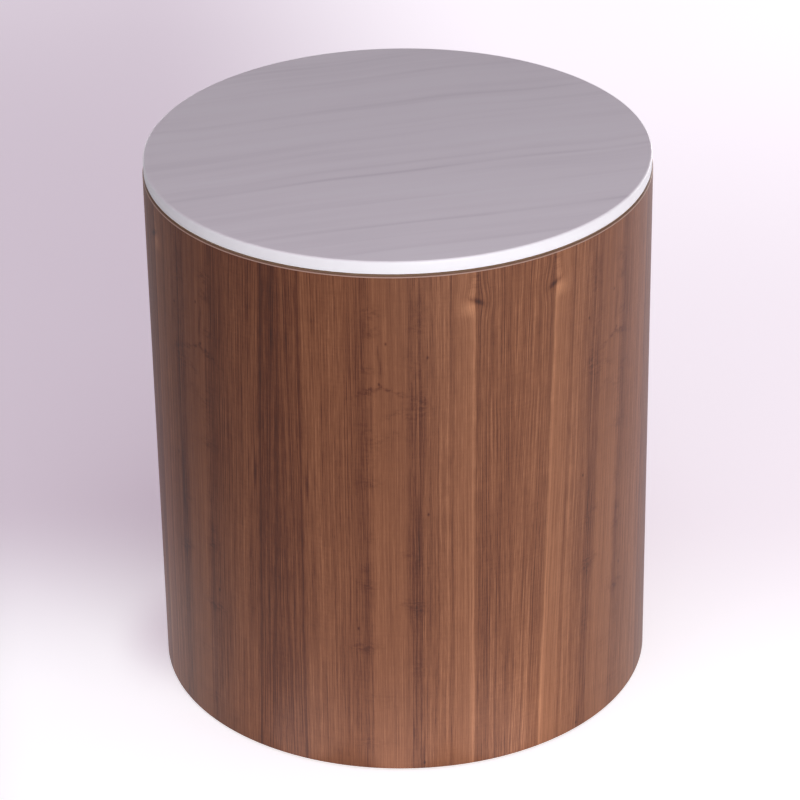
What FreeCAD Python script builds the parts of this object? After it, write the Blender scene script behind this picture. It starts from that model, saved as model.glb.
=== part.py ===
import FreeCAD
import Part
import math
import os

# Drum side table: a veneered plywood drum with a stone top, standing on four levelling feet
# Millimetres, +Z up, origin on the floor under the drum's centre, front towards -Y

# Drum wall
drum_diameter = 457.0
drum_height = 500.0
floor_gap = 3.0
arris_chamfer = 1.4
veneer_thickness = 0.6
glue_line = 0.1
shell_thickness = 12.0

# Book-matched veneer leaves, laid a little off plumb: full ones around the front, two trimmed at the rear
leaf_angle = 53.04
leaf_slant = 1.27
full_leaf_names = ("rear_left", "left", "front", "right", "rear_right")

# Loose tongues in the joints of the two half shells
spline_thickness = 4.0
spline_width = 16.0
spline_stop = 20.0

# Stone top, set back a little from the wall, and the clear pads that it is bonded on
stone_setback = 1.0
stone_thickness = 12.0
stone_upper_round = 2.0
stone_lower_chamfer = 0.8
bond_pad_diameter = 20.0
bond_pad_height = 1.5
bond_pad_margin = 8.0
bond_pad_count = 6

# Deck, rib and base ring
deck_thickness = 18.0
rib_thickness = 18.0
rib_width = 45.0
base_thickness = 18.0
base_width = 66.0

# Upright stiles
stile_width = 45.0
stile_depth = 28.0

# Levelling feet: insert nut, threaded stem with a hexagon collar, swivelling pad
thread_diameter = 8.0
thread_clearance = 0.05
thread_length = 27.0
thread_lead_in = 1.0
nut_flange_diameter = 22.0
nut_flange_thickness = 1.8
nut_barrel_diameter = 11.0
nut_length = 14.0
collar_across_flats = 13.0
collar_height = 3.8
collar_chamfer = 0.5
neck_diameter = 7.0
button_diameter = 12.0
button_thickness = 2.0
pad_diameter = 32.0
pad_height = 5.0
pad_floor = 1.6
pad_lower_edge = 0.8
pad_upper_edge = 1.5
socket_clearance = 0.3
swivel_gap = 0.2
neck_clearance = 0.05
foot_names = ("front_right", "rear_right", "rear_left", "front_left")

# Every cut runs this far past the face that it opens
cut_overrun = 1.0

# Radii and levels that follow from the sizes above
drum_radius = drum_diameter / 2
veneer_inner = drum_radius - veneer_thickness
shell_outer = veneer_inner - glue_line
shell_inner = shell_outer - shell_thickness
drum_top = floor_gap + drum_height
deck_bottom = drum_top - deck_thickness
stone_radius = drum_radius - stone_setback
stone_bottom = drum_top + bond_pad_height
stone_top = stone_bottom + stone_thickness
base_bottom = pad_height + swivel_gap + collar_height
base_top = base_bottom + base_thickness
rib_bottom = (base_top + deck_bottom - rib_thickness) / 2
rib_inner = shell_inner - rib_width
stile_inner = shell_inner - stile_depth
foot_circle = shell_inner - base_width / 2

centre = FreeCAD.Vector(0, 0, 0)
upward = FreeCAD.Vector(0, 0, 1)
outward = FreeCAD.Vector(1, 0, 0)
full_turn = 360.0
quarter_turn = full_turn / 4
hexagon_sides = 6


def turned(profile, sweep=full_turn):
    """Solid of revolution about Z from a closed outline of (radius, height) points, starting at +X."""
    points = [FreeCAD.Vector(radius, 0, height) for radius, height in profile]
    outline = Part.makePolygon(points + points[:1])
    return Part.Face(outline).revolve(centre, upward, sweep)


def disc(radius, low, high):
    return Part.makeCylinder(radius, high - low, FreeCAD.Vector(0, 0, low))


def ring(outer, inner, low, high):
    return disc(outer, low, high).cut(disc(inner, low - cut_overrun, high + cut_overrun))


def block(x_low, x_high, y_low, y_high, z_low, z_high):
    corner = FreeCAD.Vector(x_low, y_low, z_low)
    return Part.makeBox(x_high - x_low, y_high - y_low, z_high - z_low, corner)


def placed(shape, angle, radius=0, side=0, height=0):
    """Copy moved out along +X, sideways along +Y and up, then swung round the drum's axis."""
    copy = shape.copy()
    copy.translate(FreeCAD.Vector(radius, side, height))
    copy.rotate(centre, upward, angle)
    return copy


def save(node, shape):
    shape.exportStep(os.path.join("parts", node + ".step"))


def half_shell(start):
    """Bent plywood half of the wall, with the arris chamfer carried on from the veneer."""
    step = arris_chamfer - veneer_thickness - glue_line
    outline = [
        (shell_inner, floor_gap),
        (shell_outer, floor_gap),
        (shell_outer, drum_top - step),
        (shell_outer - step, drum_top),
        (shell_inner, drum_top),
    ]
    return placed(turned(outline, full_turn / 2), start)


def joint_side(side):
    """Block on one side of a leaf joint at +X: its face leans with the joint about the wall's middle."""
    depth = side * drum_radius / 2
    reach = drum_radius + cut_overrun
    body = block(0, reach, min(0, depth), max(0, depth), -drum_height, drum_height)
    body.rotate(centre, outward, -leaf_slant)
    body.translate(FreeCAD.Vector(0, 0, floor_gap + drum_height / 2))
    return body


def veneer_leaf(start, sweep):
    """Leaf cut from an oversize blank along its two leaning joints."""
    outline = [
        (veneer_inner, floor_gap),
        (drum_radius, floor_gap),
        (drum_radius, drum_top - arris_chamfer),
        (veneer_inner, drum_top - arris_chamfer + veneer_thickness),
    ]
    lean = drum_height * math.tan(math.radians(leaf_slant))
    spare = math.degrees(lean / drum_radius)
    blank = placed(turned(outline, sweep + 2 * spare), start - spare)
    before = placed(joint_side(-1), start)
    after = placed(joint_side(1), start + sweep)
    return blank.cut([before, after])


def shell_spline():
    """Tongue across the joint plane, lying at +X in the middle of the wall's thickness."""
    middle = (shell_inner + shell_outer) / 2
    half_width = spline_width / 2
    half_thickness = spline_thickness / 2
    return block(
        middle - half_thickness,
        middle + half_thickness,
        -half_width,
        half_width,
        floor_gap,
        drum_top - spline_stop,
    )


def stile():
    """Upright batten at +X: flat inside, its outer face rounded to the wall."""
    half_width = stile_width / 2
    stock = block(stile_inner, shell_inner, -half_width, half_width, base_top, deck_bottom)
    return stock.common(disc(shell_inner, base_top, deck_bottom))


def stile_notch():
    half_width = stile_width / 2
    low = rib_bottom - cut_overrun
    high = rib_bottom + rib_thickness + cut_overrun
    return block(stile_inner, shell_inner + cut_overrun, -half_width, half_width, low, high)


def insert_nut():
    bore = thread_diameter / 2 + thread_clearance
    flange = nut_flange_diameter / 2
    barrel = nut_barrel_diameter / 2
    under_barrel = base_bottom + nut_flange_thickness
    top = base_bottom + nut_length
    return turned([
        (bore, base_bottom),
        (flange, base_bottom),
        (flange, under_barrel),
        (barrel, under_barrel),
        (barrel, top),
        (bore, top),
    ])


def nut_seat():
    """Stepped hole for one insert nut, drilled right through the base ring."""
    flange_depth = base_bottom + nut_flange_thickness
    flange_seat = disc(nut_flange_diameter / 2, base_bottom - cut_overrun, flange_depth)
    barrel_hole = disc(nut_barrel_diameter / 2, base_bottom, base_top + cut_overrun)
    return flange_seat.fuse(barrel_hole)


def leveller_stem():
    """Button held in the pad, neck, hexagon collar that stops under the nut, and the thread."""
    button = button_diameter / 2
    neck = neck_diameter / 2
    thread = thread_diameter / 2
    button_top = pad_floor + button_thickness
    collar_bottom = pad_height + swivel_gap
    thread_top = base_bottom + thread_length
    button_end = disc(button, pad_floor, button_top)
    neck_run = disc(neck, button_top, collar_bottom)
    thread_run = turned([
        (0, base_bottom),
        (thread, base_bottom),
        (thread, thread_top - thread_lead_in),
        (thread - thread_lead_in, thread_top),
        (0, thread_top),
    ])
    corner_radius = collar_across_flats / 2 / math.cos(math.pi / hexagon_sides)
    corners = []
    for step in range(hexagon_sides):
        turn = 2 * math.pi * step / hexagon_sides
        x = corner_radius * math.cos(turn)
        y = corner_radius * math.sin(turn)
        corners.append(FreeCAD.Vector(x, y, collar_bottom))
    hexagon = Part.Face(Part.makePolygon(corners + corners[:1]))
    collar = hexagon.extrude(FreeCAD.Vector(0, 0, collar_height))
    rounding = turned([
        (0, collar_bottom),
        (corner_radius - collar_chamfer, collar_bottom),
        (corner_radius, collar_bottom + collar_chamfer),
        (corner_radius, base_bottom),
        (0, base_bottom),
    ])
    collar = collar.common(rounding)
    return button_end.fuse([neck_run, collar, thread_run]).removeSplitter()


def leveller_pad():
    """Round foot with a lipped socket for the stem's button."""
    outer = pad_diameter / 2
    socket = button_diameter / 2 + socket_clearance
    mouth = neck_diameter / 2 + neck_clearance
    lip = pad_floor + button_thickness + swivel_gap
    return turned([
        (0, 0),
        (outer - pad_lower_edge, 0),
        (outer, pad_lower_edge),
        (outer, pad_height - pad_upper_edge),
        (outer - pad_upper_edge, pad_height),
        (mouth, pad_height),
        (mouth, lip),
        (socket, lip),
        (socket, pad_floor),
        (0, pad_floor),
    ])


def stone_slab():
    """Slab with its upper edge rounded over and its lower edge just taken off."""
    middle = (stone_bottom + stone_top) / 2
    slab = disc(stone_radius, stone_bottom, stone_top)
    upper = [edge for edge in slab.Edges if edge.BoundBox.ZMin > middle]
    slab = slab.makeFillet(stone_upper_round, upper)
    lower = [edge for edge in slab.Edges if edge.BoundBox.ZMax < middle and edge.Closed]
    return slab.makeChamfer(stone_lower_chamfer, lower)


os.makedirs("parts", exist_ok=True)

# Directions around the drum, as turns from +X
stile_angles = {
    "right": 0,
    "rear": quarter_turn,
    "left": 2 * quarter_turn,
    "front": 3 * quarter_turn,
}
foot_angles = {}
for index, name in enumerate(foot_names):
    foot_angles[name] = quarter_turn * (index - 1) + quarter_turn / 2

# Stone top and its bond pads
save("stone_top", stone_slab())
bond_pads = []
bond_circle = shell_inner - bond_pad_margin - bond_pad_diameter / 2
bond_pad = disc(bond_pad_diameter / 2, drum_top, stone_bottom)
for index in range(bond_pad_count):
    bond_pads.append(placed(bond_pad, full_turn * (index + 1 / 2) / bond_pad_count, bond_circle))
save("bond_pads", Part.makeCompound(bond_pads))

# Half shells with their tongues: the joints lie at the left and right
spline = shell_spline()
splines = {"right": spline, "left": placed(spline, full_turn / 2)}
for name, shape in splines.items():
    save("shell_spline_" + name, shape)
save("front_half_shell", half_shell(full_turn / 2).cut(list(splines.values())))
save("rear_half_shell", half_shell(0).cut(list(splines.values())))

# Veneer leaves, from the rear seam round by the left, the front and the right
trimmed_angle = (full_turn - leaf_angle * len(full_leaf_names)) / 2
leaves = [("seam_left", trimmed_angle)]
leaves += [(name, leaf_angle) for name in full_leaf_names]
leaves += [("seam_right", trimmed_angle)]
start = quarter_turn
for name, sweep in leaves:
    save("veneer_leaf_" + name, veneer_leaf(start, sweep))
    start += sweep

# Deck, rib and base ring
save("top_deck", disc(shell_inner, deck_bottom, drum_top))
rib = ring(shell_inner, rib_inner, rib_bottom, rib_bottom + rib_thickness)
notches = [placed(stile_notch(), angle) for angle in stile_angles.values()]
save("middle_rib", rib.cut(notches))
seats = [placed(nut_seat(), angle, foot_circle) for angle in foot_angles.values()]
base = ring(shell_inner, shell_inner - base_width, base_bottom, base_top)
save("base_ring", base.cut(seats))

# Stiles
for name, angle in stile_angles.items():
    save("stile_" + name, placed(stile(), angle))

# Levelling feet
nuts = [placed(insert_nut(), angle, foot_circle) for angle in foot_angles.values()]
save("leveller_nuts", Part.makeCompound(nuts))
for name, angle in foot_angles.items():
    save("leveller_stem_" + name, placed(leveller_stem(), angle, foot_circle))
    save("leveller_pad_" + name, placed(leveller_pad(), angle, foot_circle))
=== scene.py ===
import bmesh
import bpy
import math
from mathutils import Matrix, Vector


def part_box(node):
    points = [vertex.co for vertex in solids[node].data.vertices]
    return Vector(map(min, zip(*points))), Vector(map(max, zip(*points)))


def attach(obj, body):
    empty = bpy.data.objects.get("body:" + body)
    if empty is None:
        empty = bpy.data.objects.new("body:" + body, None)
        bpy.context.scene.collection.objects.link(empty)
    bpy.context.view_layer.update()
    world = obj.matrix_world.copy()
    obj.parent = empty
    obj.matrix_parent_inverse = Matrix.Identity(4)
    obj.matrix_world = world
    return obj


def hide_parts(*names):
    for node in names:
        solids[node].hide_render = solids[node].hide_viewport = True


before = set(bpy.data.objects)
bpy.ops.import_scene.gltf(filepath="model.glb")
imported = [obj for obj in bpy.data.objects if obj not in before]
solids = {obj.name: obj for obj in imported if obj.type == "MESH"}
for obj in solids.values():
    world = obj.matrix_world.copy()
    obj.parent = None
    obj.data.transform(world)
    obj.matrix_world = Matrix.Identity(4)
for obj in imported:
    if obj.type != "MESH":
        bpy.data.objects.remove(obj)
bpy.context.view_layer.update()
print("frame loaded:", len(solids), "solids")

drum = {                       # shared sizes of the table, metres
    "radius": 0.2285,
    "veneerInner": 0.2279,
    "shellOuter": 0.2278,
    "shellInner": 0.2158,
    "foot": 0.003,
    "top": 0.503,
    "arris": 0.0014,           # the chamfer round the top of the wall
}


def clearAll():
    if bpy.context.mode != "OBJECT":
        bpy.ops.object.mode_set(mode="OBJECT")
    bpy.ops.object.select_all(action="DESELECT")


def activate(piece):
    clearAll()
    piece.select_set(True)
    bpy.context.view_layer.objects.active = piece


def startEdit(piece):
    activate(piece)
    bpy.ops.object.mode_set(mode="EDIT")


def endEdit():
    bpy.ops.object.mode_set(mode="OBJECT")


def pick(piece, kind, wanted):  # selects vertices, edges or faces by their middle and direction
    bpy.ops.mesh.select_mode(type=kind)
    bpy.ops.mesh.select_all(action="DESELECT")
    cage = bmesh.from_edit_mesh(piece.data)
    if kind == "VERT":
        for vert in cage.verts:
            vert.select_set(wanted(vert.co, vert.normal))
    if kind == "EDGE":
        for edge in cage.edges:
            first, second = edge.verts
            edge.select_set(wanted((first.co + second.co) / 2, (second.co - first.co).normalized()))
    if kind == "FACE":
        for face in cage.faces:
            face.select_set(wanted(face.calc_center_median(), face.normal))
    cage.select_flush_mode()
    bmesh.update_edit_mesh(piece.data)


def applyPlace(piece):
    activate(piece)
    bpy.ops.object.transform_apply(location=True, rotation=True, scale=True)


def applyModifier(piece, kind, **settings):
    activate(piece)
    modifier = piece.modifiers.new(kind.lower(), kind)
    for key, value in settings.items():
        setattr(modifier, key, value)
    bpy.ops.object.modifier_apply(modifier=modifier.name)


def cleanMesh(piece, smoothAngle=30):
    startEdit(piece)
    bpy.ops.mesh.select_all(action="SELECT")
    bpy.ops.mesh.remove_doubles(threshold=1e-6)
    bpy.ops.mesh.normals_make_consistent(inside=False)
    endEdit()
    bpy.ops.object.shade_smooth_by_angle(angle=math.radians(smoothAngle))


def copyPiece(piece, turn=0.0, shift=(0, 0, 0), tip=0.0):  # tipped, shifted, then turned on the drum's axis
    activate(piece)
    bpy.ops.object.duplicate()
    twin = bpy.context.object
    twin.location = shift
    twin.rotation_euler = (0, tip, 0)
    applyPlace(twin)
    twin.rotation_euler = (0, 0, turn)
    applyPlace(twin)
    return twin


def joinPieces(pieces):
    clearAll()
    for piece in pieces:
        piece.select_set(True)
    bpy.context.view_layer.objects.active = pieces[0]
    bpy.ops.object.join()
    return pieces[0]


def cutWith(piece, cutter):
    applyModifier(piece, "BOOLEAN", object=cutter, operation="DIFFERENCE", solver="EXACT")
    bpy.data.objects.remove(cutter)


def addRod(sides, radius, low, high, place=(0, 0), turn=0.0):  # upright, between two heights
    clearAll()
    bpy.ops.mesh.primitive_cylinder_add(vertices=sides, radius=radius, depth=high - low,
                                        location=(*place, (low + high) / 2), rotation=(0, 0, turn))
    rod = bpy.context.object
    applyPlace(rod)
    return rod


def addPanel(turn, reach, wide, low, tall):  # an upright plane that points out from the drum's axis
    clearAll()
    middle = (reach * math.cos(turn), reach * math.sin(turn), low + tall / 2)
    bpy.ops.mesh.primitive_plane_add(size=1, rotation=(math.pi / 2, 0, turn), location=middle)
    panel = bpy.context.object
    panel.scale = (wide, tall, 1)
    applyPlace(panel)
    return panel


def easeEdges(piece, wanted, offset, segments):
    pick(piece, "EDGE", wanted)
    bpy.ops.mesh.bevel(offset=offset, segments=segments, profile=0.5)


def looksUp(spot, normal):
    return normal.z > 0.9


def isLevel(along):
    return abs(along.z) < 0.1


def extrudeUp(height):
    bpy.ops.mesh.extrude_region_move(TRANSFORM_OT_translate={"value": (0, 0, height)})


def resizeLevel(share):        # wider or narrower about the origin's upright
    bpy.ops.transform.resize(value=(share, share, 1), center_override=(0, 0, 0))


def fitOut(piece, name, body, material, replaced=()):
    piece.name = name
    piece.data.name = name
    piece.data.materials.clear()
    piece.data.materials.append(material)
    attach(piece, body)
    if replaced:
        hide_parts(*replaced)


def paint(red, green, blue):   # a colour as seen on screen, 0 to 255
    levels = []
    for value in (red, green, blue):
        share = value / 255
        levels.append(share / 12.92 if share <= 0.04045 else ((share + 0.055) / 1.055) ** 2.4)
    return (*levels, 1.0)


def put(tree, socket, value):  # a socket is wired, anything else is typed in
    if isinstance(value, bpy.types.NodeSocket):
        tree.links.new(value, socket)
    else:
        socket.default_value = value


def fill(tree, node, values):  # by the names of the node's inputs
    for label, value in values.items():
        put(tree, node.inputs[label], value)


def addMath(tree, operation, first, second=0.0):
    node = tree.nodes.new("ShaderNodeMath")
    node.operation = operation
    put(tree, node.inputs[0], first)
    put(tree, node.inputs[1], second)
    return node.outputs[0]


def addProduct(tree, first, second):
    return addMath(tree, "MULTIPLY", first, second)


def addSum(tree, parts):
    total = parts[0]
    for part in parts[1:]:
        total = addMath(tree, "ADD", total, part)
    return total


def addSwing(tree, value, amount):  # noise made to swing about nought
    return addProduct(tree, addMath(tree, "SUBTRACT", value, 0.5), amount)


def addLength(tree, first, second):
    squares = [addProduct(tree, side, side) for side in (first, second)]
    return addMath(tree, "SQRT", addMath(tree, "ADD", *squares))


def addSpot(tree, x, y, z=0.0):
    node = tree.nodes.new("ShaderNodeCombineXYZ")
    for socket, value in zip(node.inputs, (x, y, z)):
        put(tree, socket, value)
    return node.outputs[0]


def addStretch(tree, *scaled):  # a place with each way at its own scale
    return addSpot(tree, *[addProduct(tree, value, scale) for value, scale in scaled])


def splitSpot(tree, vector):
    node = tree.nodes.new("ShaderNodeSeparateXYZ")
    put(tree, node.inputs[0], vector)
    return node.outputs


def addNoise(tree, vector, scale, detail=2.0, roughness=0.5, seed=None):
    node = tree.nodes.new("ShaderNodeTexNoise")
    node.noise_dimensions = "3D" if seed is None else "4D"
    fill(tree, node, {"Vector": vector, "Scale": scale, "Detail": detail, "Roughness": roughness})
    if seed is not None:
        put(tree, node.inputs["W"], seed)
    return node.outputs[0]


def addRange(tree, value, low, high, newLow=0.0, newHigh=1.0, kind="SMOOTHSTEP"):
    node = tree.nodes.new("ShaderNodeMapRange")
    node.interpolation_type = kind
    for socket, number in zip(node.inputs, (value, low, high, newLow, newHigh)):
        put(tree, socket, number)
    return node.outputs[0]


def addRamp(tree, value, stops):
    node = tree.nodes.new("ShaderNodeValToRGB")
    marks = node.color_ramp.elements
    while len(marks) < len(stops):
        marks.new(0.5)
    for mark, (place, colour) in zip(marks, stops):
        mark.position = place
        mark.color = colour if isinstance(colour, tuple) else (colour, colour, colour, 1.0)
    put(tree, node.inputs[0], value)
    return node.outputs[0]


def addMix(tree, factor, first, second):
    node = tree.nodes.new("ShaderNodeMix")
    node.data_type = "RGBA"
    put(tree, node.inputs[0], factor)
    put(tree, node.inputs[6], first)
    put(tree, node.inputs[7], second)
    return node.outputs[2]


def addBump(tree, shader, height, strength, distance):
    node = tree.nodes.new("ShaderNodeBump")
    fill(tree, node, {"Strength": strength, "Distance": distance, "Height": height})
    put(tree, shader.inputs["Normal"], node.outputs[0])


def newMaterial(name):
    material = bpy.data.materials.new(name)
    material.use_nodes = True
    tree = material.node_tree
    return material, tree, tree.nodes["Principled BSDF"]


def finishShader(tree, shader, colour, grit, roughness, bump):
    rough = addRange(tree, grit, 0.3, 0.7, *roughness, "LINEAR")
    fill(tree, shader, {"Base Color": colour, "Roughness": rough})
    if bump:
        addBump(tree, shader, grit, *bump)


def objectSpot(tree):
    return tree.nodes.new("ShaderNodeTexCoord").outputs["Object"]


def uprightShare(tree):        # how far a face looks up
    return splitSpot(tree, tree.nodes.new("ShaderNodeTexCoord").outputs["Normal"])[2]


def pointValue(tree, name):    # a number kept on the mesh's points
    node = tree.nodes.new("ShaderNodeAttribute")
    node.attribute_name = name
    return node.outputs["Fac"]


def newGroup(name, build, inputs, outputs):  # all numbers, apart from a colour
    tree = bpy.data.node_groups.new(name, "ShaderNodeTree")
    for way, labels in (("INPUT", inputs), ("OUTPUT", outputs)):
        for label in labels:
            kind = "NodeSocketColor" if label == "colour" else "NodeSocketFloat"
            tree.interface.new_socket(name=label, in_out=way, socket_type=kind)
    build(tree, tree.nodes.new("NodeGroupInput").outputs, tree.nodes.new("NodeGroupOutput").inputs)
    return tree


def useGroup(tree, group, **values):
    node = tree.nodes.new("ShaderNodeGroup")
    node.node_tree = group
    fill(tree, node, values)
    return node.outputs


veneer = {
    "leafAngle": 53.04,         # degrees round the drum
    "lean": 1.27,               # the joints lean this much off plumb
    "leafWidth": 211.5,         # millimetres, as all of the figure below
    "leafHeight": 500.0,
    "grainLean": 7.4,           # the grain crosses the leaf this far from foot to top
    "rampWidth": 220.0,         # a little more than the width and the grain's lean together
    "steps": 40,
    "rows": 24,
    "smoothAngle": 35,
    "sliceStep": 0.06,          # how far the fine grain changes from leaf to leaf
    "roughness": (0.50, 0.40),
    "specular": 0.34,
    "bump": (0.25, 0.00012),
    # the chamfer's colour: its bare cut edge with a painted highlight
    "arrisCutAndHighlightColour": paint(174, 143, 130),
    "paintedLeafShades": {"left": -0.06, "right": 0.06},  # painted shade and light: the left leaf is painted darker and the right leaf paler, as the light falls on them
    "paintedShadeFalls": {"left": 0.10, "right": 0.05},    # painted light and shade: how much paler the foot of a leaf is painted than its top
}


def buildMark(tree, given, result):  # one soft oval mark
    squares = []
    for way, middle, half in (("across", "midAcross", "halfWidth"), ("height", "midHeight", "halfHeight")):
        share = addMath(tree, "DIVIDE", addMath(tree, "SUBTRACT", given[way], given[middle]), given[half])
        squares.append(addMath(tree, "POWER", addMath(tree, "ABSOLUTE", share), 2.0))
    fade = addMath(tree, "EXPONENT", addProduct(tree, addMath(tree, "ADD", *squares), -1.0))
    put(tree, result["mark"], addProduct(tree, fade, given["strength"]))


markGroup = newGroup(
    "grainMark", buildMark,
    ["across", "height", "midAcross", "midHeight", "halfWidth", "halfHeight", "strength"], ["mark"],
)

figure = {
    # grain bands across the leaf: place as a share of the width, tone from dark to light
    "bands": [
        (0, 0.20), (0.07, 0.19), (0.106, 0.24), (0.114, 0.02), (0.121, 0.02), (0.131, 0.38), (0.16, 0.43),
        (0.24, 0.39), (0.3, 0.37), (0.36, 0.30), (0.395, 0.24), (0.418, 0.38), (0.43, 0.50), (0.5, 0.45),
        (0.555, 0.44), (0.585, 0.23), (0.62, 0.25), (0.645, 0.43), (0.715, 0.52), (0.735, 0.59),
        (0.745, 0.38), (0.77, 0.58), (0.828, 0.62), (0.843, 0.92), (0.855, 0.33), (0.875, 0.39),
        (0.93, 0.47), (0.945, 0.37), (1, 0.41),
    ],
    "bandContrast": 0.48,
    # how strongly the stripes show across the leaf, weakest where it is cut flat
    "stripeShares": [
        (0.00, 0.95), (0.14, 0.85), (0.41, 0.85), (0.44, 0.6), (0.56, 0.6), (0.59, 1.0),
        (0.75, 0.9), (0.78, 0.6), (0.83, 0.6), (0.86, 1.0), (1.0, 1.0),
    ],
    # noise drawn out along the grain: width, length, detail, roughness
    "noises": {
        "slow": (60.0, 230.0, 1.0, 0.5),
        "quick": (14.0, 55.0, 2.0, 0.5),
        "wideStripe": (6.0, 500.0, 2.0, 0.6),
        "middleStripe": (2.6, 320.0, 4.0, 0.6),
        "fineStripe": (0.9, 130.0, 2.0, 0.6),
        "streak": (1.1, 22.0, 2.0, 0.6),
        "pores": (0.30, 5.0, 2.0, 0.6),
        "cloud": (16.0, 30.0, 2.0, 0.6),
        "ripple": (24.0, 2.4, 2.0, 0.6),
        "growth": (9.0, 600.0, 2.0, 0.6),
        "raggedAcross": (3.5, 7.0, 3.0, 0.6),
        "raggedHeight": (6.0, 6.0, 3.0, 0.6),
        "broken": (7.0, 3.2, 3.0, 0.6),
    },
    # how far each swings, in millimetres where it moves lines and in tone where it paints
    "swings": {
        "slow": 4.0, "quick": 1.2, "raggedAcross": 12.0, "raggedHeight": 9.0,
        "wideStripe": 0.28, "middleStripe": 0.62, "fineStripe": 0.80, "streak": 0.45,
        "cloud": 0.14, "ripple": 0.09,
    },
    "poreTone": -0.16,
    "poreEdge": (0.56, 0.70),
    "growthTone": -0.10,        # thin dark lines, millimetres apart
    "growthStep": 3.3,
    "growthWander": 5.0,
    "growthEdge": (0.2, 1.0),
    "growthShares": [
        (0.0, 0.5), (0.13, 0.4), (0.40, 0.5), (0.44, 0.1), (0.56, 0.1), (0.60, 0.5), (0.84, 0.4),
        (0.87, 1.0), (1.0, 1.0),
    ],
    "thin": 3.0,                # marks thinner than this follow the lines, others are broken up
    "brokenEdge": (0.36, 0.64),
    "raggedDepth": 7.0,
    # dark and light marks: across, height, half width, half height, strength
    "marks": [
        (82.5, 465, 7.5, 6, -0.16), (84, 446, 7.5, 6, -0.14), (81, 410, 10, 4.8, -0.11),
        (79, 388, 7.5, 4.8, -0.08), (87, 340, 7.5, 7.2, -0.11), (77, 352, 6.2, 7.2, -0.07),
        (82, 299, 10, 6, -0.14), (82.5, 324, 6.2, 10.8, -0.07), (84, 243, 5, 7.2, -0.08),
        (78, 211, 7.5, 6, -0.08), (80, 194, 10, 6, -0.16), (80, 129, 12.5, 6, -0.18),
        (84, 77, 10, 6, -0.08), (102, 71, 5, 8.4, -0.07), (86.5, 28, 12.5, 6, -0.10),
        (114.5, 449, 7.5, 4.8, -0.07), (113, 420, 5, 10.8, -0.06), (124, 457, 6.2, 19.2, -0.08),
        (123, 412, 6.2, 13.2, -0.07), (126, 380, 6.2, 10.8, -0.09),
        (118.5, 373, 12.5, 10.8, -0.07), (129, 371, 6.2, 8.4, -0.06), (117, 227, 8.8, 4.8, -0.11),
        (127, 216, 7.5, 7.2, -0.09), (120, 175, 10, 4.8, -0.15), (126.5, 168, 6.2, 10.8, -0.14),
        (126, 107, 5, 15.6, -0.08), (126, 357, 1.8, 45, -0.10), (125, 270, 1.8, 30, -0.10),
        (126.5, 237, 1.5, 25, -0.10), (124, 40, 1.1, 10, -0.16), (89, 428, 0.9, 8, -0.16),
        (91, 414, 0.9, 12, -0.12), (26, 290, 1.1, 15, -0.30), (30, 290, 1.5, 20, 0.10),
        (133, 10, 0.9, 14, -0.18), (47, 440, 12, 60, 0.04), (40, 200, 10, 90, 0.04),
        (171, 493, 4.5, 16, -0.15), (178, 490, 2.5, 14, -0.06),
    ],
    # pin knots: across, height
    "pins": [(95.5, 436), (131.5, 422), (90.0, 397), (134.0, 267), (73.0, 149), (133.5, 6)],
    "pinHalf": (0.9, 1.5),
    "pinTone": -0.32,
    # arched growth lines: across, height of the apex, drop per millimetre aside, half width, strength
    "arches": [(92, 394, 0.42, 24, -0.22), (106, 370, 0.55, 14, -0.12), (104, 350, 0.65, 12, -0.09)],
    "archHalf": 2.2,
    "knot": {                   # a dark slanted core with a pale patch below it
        "spot": (181.0, 470.5),
        "reach": (13.0, 14.3),  # lines bend round it this far
        "push": -0.5,
        "slant": 0.45,
        "core": ((6.2, 2.5), -0.34),
        "patchSpot": (173.0, 464.5),
        "patch": ((7.5, 7.0), 0.19),
    },
    "colours": [
        (0.0, paint(46, 17, 5)), (0.25, paint(86, 42, 21)), (0.5, paint(123, 75, 48)),
        (0.75, paint(156, 104, 73)), (1.0, paint(189, 131, 94)),
    ],
}


def leaned(across, up):        # where a mark lies on the leaning grain
    return across + veneer["grainLean"] * up / veneer["leafHeight"], up


def addLeafRamp(tree, line, stops):  # tones by their share of the leaf's width
    scale = veneer["leafWidth"] / veneer["rampWidth"]
    place = addMath(tree, "DIVIDE", line, veneer["rampWidth"])
    return addRamp(tree, place, [(share * scale, tone) for share, tone in stops])


def addMark(tree, sideways, upward, middle, half, strength):
    return useGroup(tree, markGroup, across=sideways, height=upward, midAcross=middle[0], midHeight=middle[1],
                    halfWidth=half[0], halfHeight=half[1], strength=strength)[0]


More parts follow.
